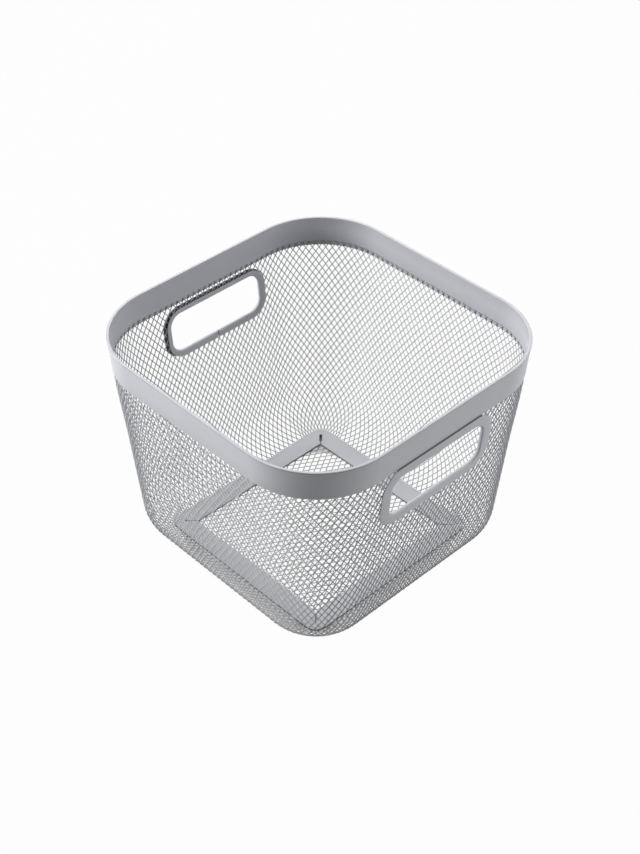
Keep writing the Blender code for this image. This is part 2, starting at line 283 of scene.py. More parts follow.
@dataclass(frozen=True)
class PowderCoat:
    """A light grey powder coat: a faintly pebbled film with a soft sheen."""

    name: str
    colour: tuple[float, float, float] = (0.46, 0.47, 0.50)
    roughness: float = 0.42
    metallic: float = 0.0
    gloss: float = 0.35
    roughness_spread: Span = (-0.05, 0.07)
    pebble_size: float = 0.0011
    pebble_depth: float = 0.000012
    pebble_strength: float = 0.6
    pebble_detail: float = 3.0
    cloud_size: float = 0.045
    cloud_detail: float = 2.0
    tone_share: float = 0.05
    # How dark the painted shade goes, as a share of the coat's colour
    painted_shade_share: float = 0.18

    def material(self) -> bpy.types.Material:
        """Builds the node material.

        Returns:
            The material, ready to be put on a mesh.
        """
        material = bpy.data.materials.new(self.name)
        material.use_nodes = True
        tree = material.node_tree
        nodes, links = tree.nodes, tree.links
        shader = nodes["Principled BSDF"]
        shader.inputs["Metallic"].default_value = self.metallic
        shader.inputs["Specular IOR Level"].default_value = self.gloss
        place = nodes.new("ShaderNodeTexCoord").outputs["Object"]
        tone = nodes.new("ShaderNodeMix")
        tone.data_type = "RGBA"
        tone.inputs["A"].default_value = self.shade(1 - self.tone_share)
        tone.inputs["B"].default_value = self.shade(1 + self.tone_share)
        links.new(self.noise(tree, place, self.cloud_size, self.cloud_detail), tone.inputs["Factor"])
        # Painted shade: faces marked in the shade attribute get the coat's colour darkened towards a
        # share of itself
        painted_shade = nodes.new("ShaderNodeAttribute")
        painted_shade.attribute_name = PAINTED_SHADE
        shaded = nodes.new("ShaderNodeMix")
        shaded.data_type = "RGBA"
        shaded.inputs["B"].default_value = self.shade(self.painted_shade_share)
        links.new(painted_shade.outputs["Fac"], shaded.inputs["Factor"])
        links.new(tone.outputs["Result"], shaded.inputs["A"])
        links.new(shaded.outputs["Result"], shader.inputs["Base Color"])
        pebbles = self.noise(tree, place, self.pebble_size, self.pebble_detail)
        smoothest, roughest = (self.roughness + step for step in self.roughness_spread)
        links.new(ramp(tree, pebbles, levels=(smoothest, roughest)), shader.inputs["Roughness"])
        bump = nodes.new("ShaderNodeBump")
        bump.inputs["Strength"].default_value = self.pebble_strength
        bump.inputs["Distance"].default_value = self.pebble_depth
        links.new(pebbles, bump.inputs["Height"])
        links.new(bump.outputs["Normal"], shader.inputs["Normal"])
        return material

    def shade(self, share: float) -> tuple[float, float, float, float]:
        """The coat's colour, darkened or lightened to a share of itself."""
        red, green, blue = (channel * share for channel in self.colour)
        return red, green, blue, 1.0

    @staticmethod
    def noise(
        tree: bpy.types.NodeTree, place: bpy.types.NodeSocket, grain: float, detail: float
    ) -> bpy.types.NodeSocket:
        """Adds a noise texture.

        Args:
            tree: The material's tree.
            place: The socket with the coordinates.
            grain: The size of a grain.
            detail: Octaves.

        Returns:
            The socket with the noise.
        """
        texture = tree.nodes.new("ShaderNodeTexNoise")
        texture.inputs["Scale"].default_value = 1 / grain
        texture.inputs["Detail"].default_value = detail
        tree.links.new(place, texture.inputs["Vector"])
        return texture.outputs["Fac"]


class Piece:
    """What the basket's pieces share: how a mesh becomes a finished object on the frame."""

    name: str = ""
    stands_for: str = ""
    slot: CoatSlot = CoatSlot.SHEET
    sharp_from: float = math.radians(35.0)

    def finish(self, shape: bmesh.types.BMesh, coat: PowderCoat) -> bpy.types.Object:
        """Makes the object, dresses it and puts it on the frame.

        Args:
            shape: The finished mesh in the frame's coordinates. It is freed.
            coat: The finish.

        Returns:
            The object.
        """
        piece = make_object(self.name, shape)
        piece.data.materials.append(coat.material())
        piece.data.shade_smooth()
        piece.data.set_sharp_from_angle(angle=self.sharp_from)
        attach(piece, "root")
        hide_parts(self.stands_for)
        return piece


def add_section(
    shape: bmesh.types.BMesh, points: list[Point], softening: dict[int, tuple[float, int]]
) -> None:
    """Draws a closed section in the upright plane through the X axis, with softened corners.

    Args:
        shape: The mesh to draw in.
        points: Distance out and height of each corner.
        softening: For each corner to soften, how far it is cut back into an arc, and in how many parts.
    """
    corners = [shape.verts.new((out, 0.0, up)) for out, up in points]
    for pair in zip(corners, corners[1:] + corners[:1]):
        shape.edges.new(pair)
    for index, (reach, parts) in softening.items():
        bmesh.ops.bevel(
            shape,
            geom=[corners[index]],
            offset=reach,
            offset_type="OFFSET",
            segments=parts,
            profile=0.5,
            affect="VERTICES",
            clamp_overlap=True,
            material=-1,
        )


def sweep_rounded(
    shape: bmesh.types.BMesh, half_x: float, half_y: float, steps: int, straight_cuts: int = 1
) -> None:
    """Sweeps the section in a mesh once round a rounded rectangle, and closes the ring.

    The section stands at the middle of the +X side, drawn from that side's corner centre. It runs
    straight along each side, and spins a quarter round the corner centres.

    Args:
        shape: The mesh that holds the section's edges.
        half_x: Distance along X from the middle to a corner centre.
        half_y: The same along Y.
        steps: Faces round each corner.
        straight_cuts: Faces along each straight.
    """
    bmesh.ops.translate(shape, verts=shape.verts, vec=(half_x, -half_y, 0.0))
    last = list(shape.edges)
    headings = (Vector((0, 1, 0)), Vector((-1, 0, 0)), Vector((0, -1, 0)), Vector((1, 0, 0)))
    centres = ((half_x, half_y), (-half_x, half_y), (-half_x, -half_y), (half_x, -half_y))
    for heading, centre in zip(headings, centres):
        length = 2 * (half_y if heading.y else half_x)
        for _ in range(straight_cuts):
            made = bmesh.ops.extrude_edge_only(shape, edges=last)["geom"]
            moved = [item for item in made if isinstance(item, bmesh.types.BMVert)]
            bmesh.ops.translate(shape, verts=moved, vec=heading * length / straight_cuts)
            last = [
                item
                for item in made
                if isinstance(item, bmesh.types.BMEdge) and all(vert in moved for vert in item.verts)
            ]
        turned = bmesh.ops.spin(
            shape,
            geom=last,
            cent=(*centre, 0.0),
            axis=(0.0, 0.0, 1.0),
            angle=math.pi / 2,
            steps=steps,
            use_merge=False,
        )
        last = [item for item in turned["geom_last"] if isinstance(item, bmesh.types.BMEdge)]
    bmesh.ops.remove_doubles(shape, verts=shape.verts, dist=SAME_PLACE)
    bmesh.ops.recalc_face_normals(shape, faces=shape.faces)


@dataclass(frozen=True)
class HolePlace:
    """A hand hole's place and size in its wall, and how far its edging's flanges reach.

    The stretch is how much further the outer flange reaches along and up the wall. The shift is how
    far the inner flange's outline lies aside along and up the wall.
    """

    middle_height: float
    offset: float
    width: float
    height: float
    outer_flange: float
    inner_flange: float
    outer_stretch: Point
    inner_shift: Point


HOLE_PLACES = {
    Side.RIGHT: HolePlace(
        middle_height=0.1398,
        offset=0.0046,
        width=0.0905,
        height=0.0356,
        outer_flange=0.0088,
        inner_flange=0.0046,
        outer_stretch=(0.0009, -0.0007),
        inner_shift=(0.0, 0.0),
    ),
    Side.LEFT: HolePlace(
        middle_height=0.1408,
        offset=0.0054,
        width=0.0886,
        height=0.0320,
        outer_flange=0.0063,
        inner_flange=0.0051,
        outer_stretch=(0.0, -0.0006),
        inner_shift=(-0.0010, -0.0007),
    ),
}


@dataclass
class HandHole(Piece):
    """The edging round a hand hole, folded over the cut edge of the mesh from both sides."""

    form: Form
    side: Side
    corner_radius: float = 0.0100
    sheet: float = 0.0005
    outer_proud: float = 0.0017
    rim_proud: float = 0.0013
    inner_proud: float = 0.0008
    inner_rim_proud: float = 0.0006
    outer_fold_radius: float = 0.0014
    inner_fold_radius: float = 0.0015
    rim_round: float = 0.0002
    top_limit: float = 0.1649
    top_proud: float = 0.0007
    top_tuck: float = 0.0014
    tuck_run_share: float = 3.0
    tuck_from_share: float = 0.95
    tuck_margin: float = 0.00014
    back_share: float = 0.6
    seam_width: float = 0.0009
    seam_offset: float = 0.0006
    seam_middle_share: float = 1.15
    corner_steps: int = 14

    def __post_init__(self) -> None:
        """Names the piece after its side and looks up its place."""
        self.name = f"grip_edging_{self.side.name.lower()}"
        self.stands_for = f"grip_ring_{self.side.name.lower()}"
        self.spot = HOLE_PLACES[self.side]

    def place(self) -> Matrix:
        """The hole's place and turn: X out of the wall, Y along it, Z up it.

        Returns:
            The matrix that carries a point of the hole's own frame to the basket's.
        """
        lean = self.form.draft
        out = Vector((math.cos(lean), 0.0, -math.sin(lean)))
        up = Vector((math.sin(lean), 0.0, math.cos(lean)))
        turn = Matrix((out, Vector((0.0, 1.0, 0.0)), up)).transposed().to_4x4()
        middle = self.spot.middle_height
        centre = Vector((self.form.core + self.form.wall_radius(middle), -self.spot.offset, middle))
        return Matrix.Rotation(self.side.value, 4, "Z") @ Matrix.Translation(centre) @ turn

    def depth_inside(self, point: Vector) -> float:
        """How far a point lies inside the hole's edge, seen square to the wall.

        Args:
            point: A point on the wall.

        Returns:
            The distance to the edge, positive inside the hole, and a large negative number off the wall.
        """
        local = self.place().inverted() @ point
        if abs(local.x) > self.spot.width:
            return -1.0
        return -self.reach(local.y, local.z)

    def reach(self, along: float, up: float) -> float:
        """How far a point of the wall lies outside the hole's edge.

        Args:
            along: Its distance from the hole's middle along the wall.
            up: Its distance from there up the wall.

        Returns:
            The distance to the edge, negative inside the hole.
        """
        over_along = abs(along) - (self.spot.width / 2 - self.corner_radius)
        over_up = abs(up) - (self.spot.height / 2 - self.corner_radius)
        over = math.hypot(max(over_along, 0.0), max(over_up, 0.0)) + min(max(over_along, over_up), 0.0)
        return over - self.corner_radius

    def build(self, coat: PowderCoat) -> bpy.types.Object:
        """Builds the edging.

        Args:
            coat: The finish.

        Returns:
            The object.
        """
        form, spot, inside = self.form, self.spot, -self.form.mesh_thickness
        sheet, gap = self.sheet, form.fold_clearance
        # The section is drawn with the hole's outward direction along X and the wall's along Z
        edge = self.corner_radius
        rim, inner_rim = edge + spot.outer_flange, edge + spot.inner_flange
        points = [
            (rim, self.rim_proud - sheet),
            (rim, self.rim_proud),
            (edge + spot.outer_flange / 2, (self.rim_proud + self.outer_proud) / 2 + sheet / 4),
            (edge, self.outer_proud),
            (edge, inside - self.inner_proud),
            (inner_rim, inside - self.inner_rim_proud),
            (inner_rim, inside - self.inner_rim_proud + sheet),
            (edge + sheet, inside - gap / 2),
            (edge + sheet, gap / 2),
        ]
        softening = {
            1: (self.rim_round, 3),
            2: (spot.outer_flange / 4, 3),
            3: (self.outer_fold_radius, 7),
            4: (self.inner_fold_radius, 6),
            5: (self.rim_round, 3),
        }
        shape = bmesh.new()
        add_section(shape, points, softening)
        half_along = spot.width / 2 - self.corner_radius
        half_up = spot.height / 2 - self.corner_radius
        sweep_rounded(shape, half_along, half_up, self.corner_steps)
        self.trim_flanges(shape)
        stand = Matrix(((0, 0, 1, 0), (1, 0, 0, 0), (0, 1, 0, 0), (0, 0, 0, 1)))
        bmesh.ops.transform(shape, matrix=self.place() @ stand, verts=shape.verts)
        bmesh.ops.recalc_face_normals(shape, faces=shape.faces)
        piece = self.finish(shape, coat)
        if self.side is Side.LEFT:
            self.cut_seam(piece)
        # Painted shade on the flanges' rims and backs, and on the part tucked under the band
        paint_shade_on(piece, self.gets_painted_shade)
        return piece

    @property
    def flange_top(self) -> float:
        """How far up the wall from the hole's middle the outer flange may reach."""
        return (self.top_limit - self.spot.middle_height) / math.cos(self.form.draft)

    def gets_painted_shade(self, middle: Vector, normal: Vector) -> bool:
        """Tells whether a face gets painted shade: a flange's rim or back, or the part tucked under the
        band.

        Args:
            middle: The face's middle.
            normal: Its normal.

        Returns:
            Whether it is.
        """
        turned = self.place().inverted()
        local, facing = turned @ middle, turned.to_3x3() @ normal
        if local.z > self.flange_top + self.tuck_margin:
            return True
        if self.reach(local.y, local.z) < 2 * self.sheet:
            return False
        return (facing.x if local.x > -self.form.mesh_thickness / 2 else -facing.x) < ASLANT

    def trim_flanges(self, shape: bmesh.types.BMesh) -> None:
        """Gives both flanges their outlines, and cuts the outer one off along the rim band's edge.

        The back of the cut edge is tucked under the band, so that no gap shows between the two.

        Args:
            shape: The swept edging, lying flat: X along the wall, Y up it, Z out of it.
        """
        spot, limit = self.spot, self.flange_top
        half_width, half_height = spot.width / 2, spot.height / 2
        behind = self.rim_proud - self.sheet * self.back_share
        for vert in shape.verts:
            reach = self.reach(vert.co.x, vert.co.y)
            if vert.co.z > -self.form.mesh_thickness / 2:
                share = as_share(reach / spot.outer_flange)
                vert.co.x *= 1 + share * spot.outer_stretch[0] / (half_width + spot.outer_flange)
                vert.co.y *= 1 + share * spot.outer_stretch[1] / (half_height + spot.outer_flange)
                near_top = as_share((vert.co.y - half_height) / (limit - half_height))
                tucked = as_share((vert.co.y - limit) / (self.tuck_run_share * self.top_tuck) + 1)
                vert.co.y = min(vert.co.y, limit)
                if vert.co.z < behind and share > self.tuck_from_share:
                    vert.co.y += tucked * self.top_tuck
                vert.co.z -= share * near_top**2 * (self.rim_proud - self.top_proud)
            else:
                share = as_share(reach / spot.inner_flange)
                vert.co.x += share * spot.inner_shift[0]
                vert.co.y += share * spot.inner_shift[1]

    def cut_seam(self, piece: bpy.types.Object) -> None:
        """Cuts the butt seam of the edging's strip, near the middle of the lower inner flange.

        Args:
            piece: The edging.
        """
        half = self.spot.height / 2
        size = Matrix.Diagonal((half, self.seam_width, half, 1.0))
        inward = -(self.form.mesh_thickness + half) / 2
        middle = Matrix.Translation((inward, self.seam_offset, -half * self.seam_middle_share))
        cut_blocks(piece, [self.place() @ middle @ size])


@dataclass
class RimBand(Piece):
    """The strip of sheet folded over the mesh's top edge, with a rounded lip."""

    form: Form
    outer_drop: float = 0.0247
    inner_drop: float = 0.0204
    inner_drop_at_holes: float = 0.0211
    bead_proud: float = 0.0003
    bead_height: float = 0.0008
    crease: float = 0.0004
    # How dark the painted shade in the crease under the lip is
    crease_shade_depth: float = 0.45
    lip_softness: float = 0.7
    outer_lip_round: float = 0.0004
    foot_round_share: float = 0.35
    fold_gap: float = 0.0003
    low_edge_share: float = 1.2
    low_edge_run_share: float = 0.4
    corner_steps: int = 32
    straight_cuts: int = 8
    name = "rim_band_folded"
    stands_for = "rim_band"

    def build(self, coat: PowderCoat) -> bpy.types.Object:
        """Builds the band.

        Args:
            coat: The finish.

        Returns:
            The object.
        """
        form = self.form
        outer = form.sheet + form.fold_clearance
        inner = -form.mesh_thickness - outer
        groove_out, groove_in = form.fold_clearance, -form.mesh_thickness - form.fold_clearance
        groove_top = form.height - form.mesh_below_rim + self.fold_gap
        neck, bead = self.neck, self.bead_proud

        def station(offset: float, height: float) -> Point:
            """A point of the section, a distance out from the mesh's outer surface."""
            return form.wall_radius(height) + offset, height

        outer_side = [
            station(outer - bead, form.height - self.outer_drop),
            station(outer - bead, form.height - self.outer_drop / 2),
            station(outer - bead, neck - bead - self.crease),
            station(outer - bead, neck - bead),
            station(outer, neck + bead),
        ]
        top = form.wall_radius(form.height)
        lip = [(top + outer, form.height), (top + inner, form.height)]
        inner_side = [
            station(inner, neck + bead),
            station(inner + bead, neck - bead),
            station(inner + bead, form.height - self.inner_drop / 2),
            station(inner + bead, form.height - self.inner_drop),
        ]
        groove = [
            station(groove_in, form.height - self.inner_drop),
            station(groove_in, groove_top),
            station(groove_out, groove_top),
            station(groove_out, form.height - self.outer_drop),
        ]
        points = outer_side + lip + inner_side + groove
        lip_round = (outer - inner) / 2 * self.lip_softness
        foot_round = form.sheet * self.foot_round_share
        # Softened are both edges of the lip, and both edges of the foot of each leg
        softening = {
            0: (foot_round, 2),
            5: (self.outer_lip_round, 5),
            6: (lip_round, 8),
            10: (foot_round, 2),
            11: (foot_round, 2),
            14: (foot_round, 2),
        }
        shape = bmesh.new()
        add_section(shape, points, softening)
        sweep_rounded(shape, form.core, form.core, self.corner_steps, self.straight_cuts)
        self.trim_inner_leg(shape)
        piece = self.finish(shape, coat)
        # Painted shade in the crease under the lip, outside
        paint_shade_on(piece, self.gets_painted_shade, self.crease_shade_depth)
        return piece

    @property
    def neck(self) -> float:
        """Height at which the lip's bead ends."""
        return self.form.height - self.bead_height

    def gets_painted_shade(self, middle: Vector, normal: Vector) -> bool:
        """Tells whether a face is in the crease under the lip outside, where painted shade darkens it.

        Args:
            middle: The face's middle.
            normal: Its normal.

        Returns:
            Whether it is.
        """
        low = self.neck - self.bead_proud - self.crease
        high = self.neck + self.bead_proud / 2
        return middle.xy.dot(normal.xy) > 0 and low < middle.z < high

    def trim_inner_leg(self, shape: bmesh.types.BMesh) -> None:
        """Lowers the inner leg's edge along the walls with the hand holes, as on the real band.

        It eases back to its own height over a run that ends a little way round the corner.

        Args:
            shape: The swept band.
        """
        form = self.form
        edge = form.height - self.inner_drop
        for vert in shape.verts:
            if abs(vert.co.z - edge) < form.sheet and abs(vert.co.x) > form.core:
                along = abs(vert.co.y) / form.core
                share = as_share((self.low_edge_share - along) / self.low_edge_run_share)
                eased = share * share * (3 - 2 * share)
                vert.co.z -= (self.inner_drop_at_holes - self.inner_drop) * eased


@dataclass
class BaseFrame(Piece):
    """The pressed frame that lies on the joint of both meshes, with a slit at each inner corner."""

    form: Form
    inner_side: float = 0.1346
    width: float = 0.0158
    inner_radius: float = 0.0010
    lift: float = 0.0019
    lip_drop: float = 0.0002
    plate_near: float = 0.0004
    plate_far: float = 0.0120
    outer_foot: float = 0.0018
    edge_round: float = 0.0002
    corner_squareness: float = 3.6
    slit_start: float = 0.0026
    slit_end: float = 0.0112
    slit_widths: Corners = (0.0007, 0.0023, 0.0007, 0.0010)
    neck_start: float = -0.0100
    neck_overlap: float = 0.0010
    neck_width: float = 0.0007
    mesh_gap: float = 0.0003
    corner_steps: int = 16
    name = "base_frame_pressed"
    stands_for = "base_frame"

    def build(self, coat: PowderCoat) -> bpy.types.Object:
        """Builds the frame.

        Args:
            coat: The finish.

        Returns:
            The object.
        """
        form, under, top, plate_top = self.form, self.under, self.top, self.plate_top
        plate_low = plate_top - form.sheet / 2
        near, far = self.inner_radius, self.inner_radius + self.width
        points = [
            (far, self.outer_foot),
            (far, top),
            (near, top),
            (near, under - self.lip_drop),
            (near + form.sheet, under - self.lip_drop),
            (near + form.sheet, under),
            (near + self.plate_far, under),
            (near + self.plate_far, plate_top),
            (near + self.plate_near, plate_top),
            (near + self.plate_near, plate_low),
            (near + self.plate_far + form.sheet, plate_low),
            (near + self.plate_far + form.sheet, under),
            (far - form.sheet, under),
            (far - form.sheet, self.outer_foot),
        ]
        shape = bmesh.new()
        add_section(shape, points, {1: (self.edge_round, 3), 2: (self.edge_round, 3)})
        half = self.inner_side / 2 - self.inner_radius
        sweep_rounded(shape, half, half, self.corner_steps)
        self.square_corners(shape, half)
        piece = self.finish(shape, coat)
        cut_blocks(piece, self.slits(self.slit_start, self.slit_end, self.slit_widths))
        neck_end = self.slit_start + self.neck_overlap
        cut_blocks(piece, self.slits(self.neck_start, neck_end, (self.neck_width,) * 4))
        # Painted shade under the top plate, on the upright edges and in the slits
        paint_shade_on(piece, self.gets_painted_shade)
        return piece

    @property
    def under(self) -> float:
        """Height of the top plate's underside."""
        return self.form.mesh_thickness + self.lift

    @property
    def top(self) -> float:
        """Height of the frame's top."""
        return self.under + self.form.sheet

    @property
    def plate_top(self) -> float:
        """Height of the top of the frame's lower plate, which lies on the meshes."""
        return self.form.mesh_thickness + self.mesh_gap + self.form.sheet / 2

    def gets_painted_shade(self, middle: Vector, normal: Vector) -> bool:
        """Tells whether a face gets painted shade: under the top plate, on an upright edge away from the
        inner lip, or in a slit.

        Args:
            middle: The face's middle.
            normal: Its normal.

        Returns:
            Whether it is. A face that looks down never is.
        """
        if normal.z < -ASLANT:
            return False
        lip = max(abs(middle.x), abs(middle.y)) < (self.inner_side + self.form.sheet) / 2
        return middle.z < self.under - self.lip_drop or (normal.z < ASLANT and not lip)

    def square_corners(self, shape: bmesh.types.BMesh, half: float) -> None:
        """Gives the frame's outer corners a tighter round than a plain sweep has.

        Args:
            shape: The swept frame.
            half: Distance along X and Y from the middle to a corner centre.
        """
        power = self.corner_squareness
        for vert in shape.verts:
            over = Vector((abs(vert.co.x) - half, abs(vert.co.y) - half))
            if min(over) <= 0:
                continue
            squared = ((over.x**power + over.y**power) ** (1 / power)) / over.length
            share = as_share((over.length - self.inner_radius) / self.width)
            over *= 1 + share * (1 / squared - 1)
            vert.co.x = math.copysign(half + over.x, vert.co.x)
            vert.co.y = math.copysign(half + over.y, vert.co.y)

    def slits(self, start: float, end: float, widths: Corners) -> list[Matrix]:
        """Places the blocks that cut a slit or its neck out of the top plate along each diagonal.

        Args:
            start: Where it starts, measured out from the inner corner.
            end: Where it ends.
            widths: Its width at each corner, from the one at +X +Y on, counter-clockwise.

        Returns:
            The four blocks.
        """
        middle = self.inner_side / 2 * math.sqrt(2) + (start + end) / 2
        depth = 2 * (self.top - self.plate_top) - self.form.sheet / 2
        place = Matrix.Translation((middle, 0.0, self.top))
        blocks = []
        for quarter, width in enumerate(widths):
            turn = Matrix.Rotation(math.pi / 4 + quarter * math.pi / 2, 4, "Z")
            blocks.append(turn @ place @ Matrix.Diagonal((end - start, width, depth, 1.0)))
        return blocks


def cut_blocks(piece: bpy.types.Object, blocks: list[Matrix]) -> None:
    """Cuts blocks out of a piece.

    Args:
        piece: The piece.
        blocks: The place, turn and size of each block, as what turns a unit cube into it.
    """
    shape = bmesh.new()
    for block in blocks:
        bmesh.ops.create_cube(shape, size=1.0, matrix=block)
    cutter = make_object("blocks", shape)
    cut = piece.modifiers.new("cut", "BOOLEAN")
    cut.operation = "DIFFERENCE"
    cut.solver = "EXACT"
    cut.object = cutter
    apply_modifiers(piece)
    bpy.data.objects.remove(cutter, do_unlink=True)


def paint_shade_on(
    piece: bpy.types.Object, test: Callable[[Vector, Vector], bool], depth: float = 1.0
) -> None:
    """Marks the faces that get painted shade: their coat is darkened to stand in for the shade in
    crevices and gaps.

    Args:
        piece: The piece.
        test: Tells from a face's middle and normal whether it is marked.
        depth: How far the painted shade darkens the marked faces, towards the darkest.
    """
    mesh = piece.data
    marks = mesh.attributes.new(PAINTED_SHADE, "FLOAT", "CORNER")
    for face in mesh.polygons:
        if test(face.center, face.normal):
            for corner in face.loop_indices:
                marks.data[corner].value = depth


def apply_modifiers(piece: bpy.types.Object) -> None:
    """Replaces an object's mesh with what its modifiers make of it.

    Args:
        piece: The object.
    """
    graph = bpy.context.evaluated_depsgraph_get()
    mesh = bpy.data.meshes.new_from_object(piece.evaluated_get(graph))
    piece.modifiers.clear()
    piece.data = mesh


@dataclass
class ExpandedSheet(Piece):
    """A sheet of expanded metal: a net of diamonds, slit and pulled open, its strands a little turned."""

    form: Form
    strand_width: float = 0.00055
    strand_thickness: float = 0.00050
    turn: float = math.radians(45.0)
    slot = CoatSlot.MESH

    def open_diamonds(self, shape: bmesh.types.BMesh) -> None:
        """Turns a grid of faces into a net of diamonds along strands, open between them.

        Args:
            shape: The mesh of the grid, one face for each column and row of diamonds.
        """
        sides = [edge for edge in shape.edges if len(edge.link_faces) == 2]
        bmesh.ops.poke(shape, faces=shape.faces)
        bmesh.ops.dissolve_edges(shape, edges=sides, use_verts=False, use_face_split=False)
        strands = [edge for edge in shape.edges if len(edge.link_faces) == 2]
        made = bmesh.ops.bevel(
            shape,
            geom=strands,
            offset=self.strand_width / 2,
            offset_type="OFFSET",
            segments=1,
            profile=0.5,
            affect="EDGES",
            clamp_overlap=False,
            material=-1,
        )
        kept = set(made["faces"])
        gaps = [face for face in shape.faces if face not in kept]
        bmesh.ops.delete(shape, geom=gaps, context="FACES")

    @staticmethod
    def aside_of_crossing(column: float, row: float) -> float:
        """How far a strand's corner lies to one side of the crossing that it belongs to.

        Args:
            column: Its place across the sheet, in half columns of diamonds.
            row: Its place along the sheet, in half rows.

        Returns:
            The distance in half columns.
        """
        near_row = round(row)
        near_column = round((column - near_row % 2) / 2) * 2 + near_row % 2
        other_row = near_row + (1 if row > near_row else -1)
        other_column = round((column - other_row % 2) / 2) * 2 + other_row % 2
        first = math.hypot(column - near_column, row - near_row)
        second = math.hypot(column - other_column, row - other_row)
        return column - (near_column if first <= second else other_column)

    def thicken(self, piece: bpy.types.Object) -> None:
        """Gives the strands their thickness, about the surface that they were drawn on.

        Args:
            piece: The sheet's object.
        """
        solid = piece.modifiers.new("thickness", "SOLIDIFY")
        solid.thickness = self.strand_thickness
        solid.offset = 0.0
        solid.use_even_offset = False
        apply_modifiers(piece)


@dataclass
class WallMesh(ExpandedSheet):
    """The four walls: one sheet of expanded metal, drawn in under the base frame at its foot."""

    columns: int = 164
    rows: int = 27
    row_growth: float = 0.036
    edging_cover: float = 0.0011
    longest_pull: float = 0.98
    name = "wall_mesh_fine"
    stands_for = "wall_mesh"

    def lattice(self, around: float, path: float) -> Point:
        """A point's place counted in half columns and half rows of diamonds."""
        return around * 2 * self.columns, path / self.form.mesh_length * 2 * self.rows

    def path_of(self, row: float) -> float:
        """The length down the mesh of a row, whose diamonds grow a little towards the foot.

        Args:
            row: Half rows from the top edge.

        Returns:
            The length down from the top edge.
        """
        share = row / (2 * self.rows)
        return self.form.mesh_length * share * (1 + self.row_growth * (share - 1))

    def build(self, coat: PowderCoat, holes: list[HandHole]) -> bpy.types.Object:
        """Builds the wall mesh.

        The grid is closed into a drum, opened into diamonds there, and then draped over the form.

        Args:
            coat: The finish.
            holes: The hand holes that are cut in it.

        Returns:
            The object.
        """
        form = self.form
        shape = bmesh.new()
        bmesh.ops.create_grid(shape, x_segments=self.columns, y_segments=self.rows, size=0.5)
        drum = form.girth / math.tau
        for vert in shape.verts:
            angle = math.tau * vert.co.x
            drop = (0.5 - vert.co.y) * form.mesh_length
            vert.co = (drum * math.cos(angle), drum * math.sin(angle), -drop)
        bmesh.ops.remove_doubles(shape, verts=shape.verts, dist=SAME_PLACE)
        self.open_diamonds(shape)
        for vert in shape.verts:
            around = math.atan2(vert.co.y, vert.co.x) / math.tau
            column, row = self.lattice(around, -vert.co.z)
            aside = self.aside_of_crossing(column, row) * form.girth / (2 * self.columns)
            out = aside * math.tan(self.turn) - form.mesh_thickness / 2
            vert.co = form.drape(around, self.path_of(row), out)
        bmesh.ops.recalc_face_normals(shape, faces=shape.faces)
        self.cut_holes(shape, holes)
        piece = self.finish(shape, coat)
        self.thicken(piece)
        return piece

    def cut_holes(self, shape: bmesh.types.BMesh, holes: list[HandHole]) -> None:
        """Cuts the hand holes. The cut ends lie in the folds of their edgings.

        Args:
            shape: The draped sheet.
            holes: The hand holes.
        """
        for hole in holes:
            depth = {vert: hole.depth_inside(vert.co) + self.edging_cover for vert in shape.verts}
            gone = [face for face in shape.faces if all(depth[vert] > 0 for vert in face.verts)]
            bmesh.ops.delete(shape, geom=gone, context="FACES")
            inside = [vert for vert in shape.verts if depth[vert] > 0]
            pulled = {}
            for vert in inside:
                beyond = [edge.other_vert(vert) for edge in vert.link_edges]
                beyond = [other for other in beyond if depth[other] <= 0]
                if beyond:
                    share = depth[vert] / (depth[vert] - depth[beyond[0]])
                    pulled[vert] = vert.co.lerp(beyond[0].co, min(share, self.longest_pull))
            for vert in inside:
                beside = [edge.other_vert(vert) for edge in vert.link_edges]
                beside = [pulled[other] for other in beside if other in pulled]
                if vert not in pulled and beside:
                    vert.co = beside[0]
            for vert, place in pulled.items():
                vert.co = place


@dataclass
class BaseMesh(ExpandedSheet):
    """The flat sheet of expanded metal in the base, which meets the wall mesh under the frame."""

    columns: int = 27
    rows: int = 16
    clearance: float = 0.0003
    name = "base_mesh_fine"
    stands_for = "base_mesh"

    def build(self, coat: PowderCoat) -> bpy.types.Object:
        """Builds the base mesh.

        Args:
            coat: The finish.

        Returns:
            The object.
        """
        form = self.form
        half = form.core + form.bend_centre_radius - form.foot_inset - self.clearance
        shape = bmesh.new()
        bmesh.ops.create_grid(shape, x_segments=self.columns, y_segments=self.rows, size=half)
        self.open_diamonds(shape)
        for vert in shape.verts:
            column = (vert.co.x / half + 1) * self.columns
            row = (vert.co.y / half + 1) * self.rows
            aside = self.aside_of_crossing(column, row) * half / self.columns
            vert.co.z = form.mesh_thickness / 2 + aside * math.tan(self.turn)
            over = Vector((abs(vert.co.x) - form.core, abs(vert.co.y) - form.core))
            if min(over) > 0:
                over *= max(over) / over.length
                vert.co.x = math.copysign(form.core + over.x, vert.co.x)
                vert.co.y = math.copysign(form.core + over.y, vert.co.y)
        bmesh.ops.recalc_face_normals(shape, faces=shape.faces)
        piece = self.finish(shape, coat)
        self.thicken(piece)
        return piece


@dataclass(frozen=True)
class SoftLamp:
    """A square soft lamp, aimed at the basket from its azimuth and elevation in degrees."""

    name: str
    azimuth: float
    elevation: float
    power: float
    side: float = 1.1
    distance: float = 1.8
    aim_height: float = 0.09

    def build(self) -> None:
        """Makes the lamp and aims it."""
        lamp = bpy.data.lights.new(self.name, "AREA")
        lamp.shape = "SQUARE"
        lamp.size = self.side
        lamp.energy = self.power
        holder = bpy.data.objects.new(self.name, lamp)
        bpy.context.scene.collection.objects.link(holder)
        away = heading(self.azimuth, self.elevation)
        holder.location = away * self.distance + Vector((0.0, 0.0, self.aim_height))
        holder.rotation_euler = away.to_track_quat("Z", "Y").to_euler()


